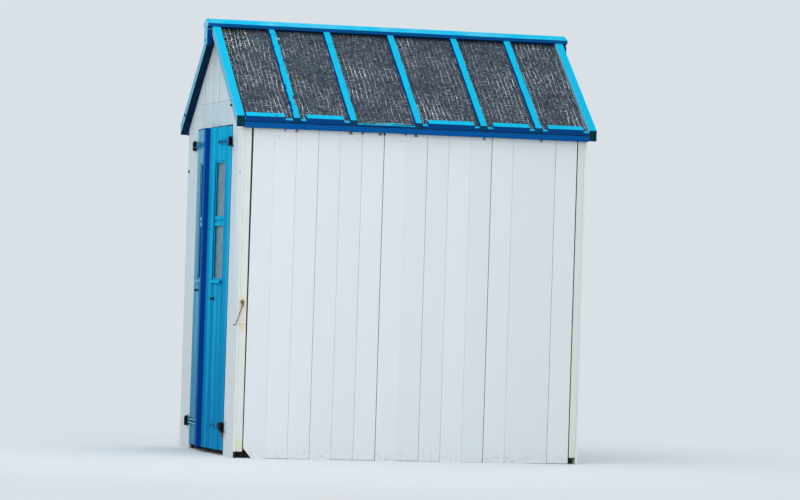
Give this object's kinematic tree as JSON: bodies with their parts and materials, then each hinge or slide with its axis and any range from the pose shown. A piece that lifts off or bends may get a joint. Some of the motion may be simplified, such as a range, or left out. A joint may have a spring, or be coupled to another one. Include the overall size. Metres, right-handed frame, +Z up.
{
  "type": "beach hut",
  "caption": "Small timber beach hut with a steep gabled felt roof, roof battens, glazed double doors on strap hinges, cabin hooks, a hollow room and a boarded floor.",
  "frame": {"origin": "centre of the hut's footprint on the ground, under the middle of the ridge", "axes": "+Z up; the doors face -Y; the ridge runs along Y; +X is the visitor's right when facing the doors"},
  "size_m": [1.58, 2.305, 2.6482],
  "materials": {
    "white_timber": "weathered white paint over boards",
    "door_timber": "faded blue paint over boards",
    "blue_timber": "bright blue paint, chipped",
    "bare_timber": "sawn softwood, bare",
    "roof_felt": "mineral felt, dark grey, worn",
    "black_iron": "black paint with rust",
    "rusty_iron": "rusty wire",
    "glass": "plain glass, dulled"
  },
  "bodies": {
    "hut": {"floor": "bare_timber", "floor_bearers": "bare_timber", "wall_rails": "bare_timber", "door_posts": "bare_timber", "door_head": "bare_timber", "ridge_beam": "bare_timber", "purlins": "bare_timber", "roof_deck_left": "bare_timber", "roof_deck_right": "bare_timber", "front_wall_left": "white_timber", "front_wall_right": "white_timber", "front_gable": "white_timber", "back_wall": "white_timber", "corner_posts": "white_timber", "side_wall_left": "white_timber", "side_wall_right": "white_timber", "roof_felt_left": "roof_felt", "roof_felt_right": "roof_felt", "ridge_board_left": "blue_timber", "ridge_board_right": "blue_timber", "roof_battens_left": "blue_timber", "roof_battens_right": "blue_timber", "eave_strips_left": "blue_timber", "eave_strips_right": "blue_timber", "fascias": "blue_timber", "front_verge_left": "blue_timber", "front_verge_right": "blue_timber", "back_verge_left": "blue_timber", "back_verge_right": "blue_timber", "apex_boards": "blue_timber", "hinge_plates": "black_iron", "screw_eyes": "rusty_iron"},
    "door_left": {"door_boards_left": "door_timber", "door_ledges_left": "bare_timber", "window_sash_left": "door_timber", "window_glass_left": "glass", "window_sill_left": "door_timber", "astragal": "door_timber", "door_knob_left": "black_iron", "hinge_straps_left": "black_iron"},
    "door_right": {"door_boards_right": "door_timber", "door_ledges_right": "bare_timber", "window_sash_right": "door_timber", "window_glass_right": "glass", "window_sill_right": "door_timber", "door_knob_right": "black_iron", "hinge_straps_right": "black_iron"},
    "hook_left": {"hook_left": "rusty_iron"},
    "hook_right": {"hook_right": "rusty_iron"}
  },
  "joints": [
    {"name": "left_door_hinge", "type": "hinge", "parent": "hut", "child": "door_left", "pos_m": [-0.5, -1.0905, 1.028], "axis": [0, 0, -1], "range_deg": [-3.5, 166.5]},
    {"name": "right_door_hinge", "type": "hinge", "parent": "hut", "child": "door_right", "pos_m": [0.5, -1.0905, 1.028], "axis": [0, 0, 1], "range_deg": [-3.5, 166.5]},
    {"name": "left_hook_swing", "type": "hinge", "parent": "hut", "child": "hook_left", "pos_m": [-0.763, -1.0435, 0.91], "axis": [-1, 0, 0], "range_deg": [-62, 38]},
    {"name": "right_hook_swing", "type": "hinge", "parent": "hut", "child": "hook_right", "pos_m": [0.763, -1.0435, 0.91], "axis": [-1, 0, 0], "range_deg": [-80, 20]}
  ]
}
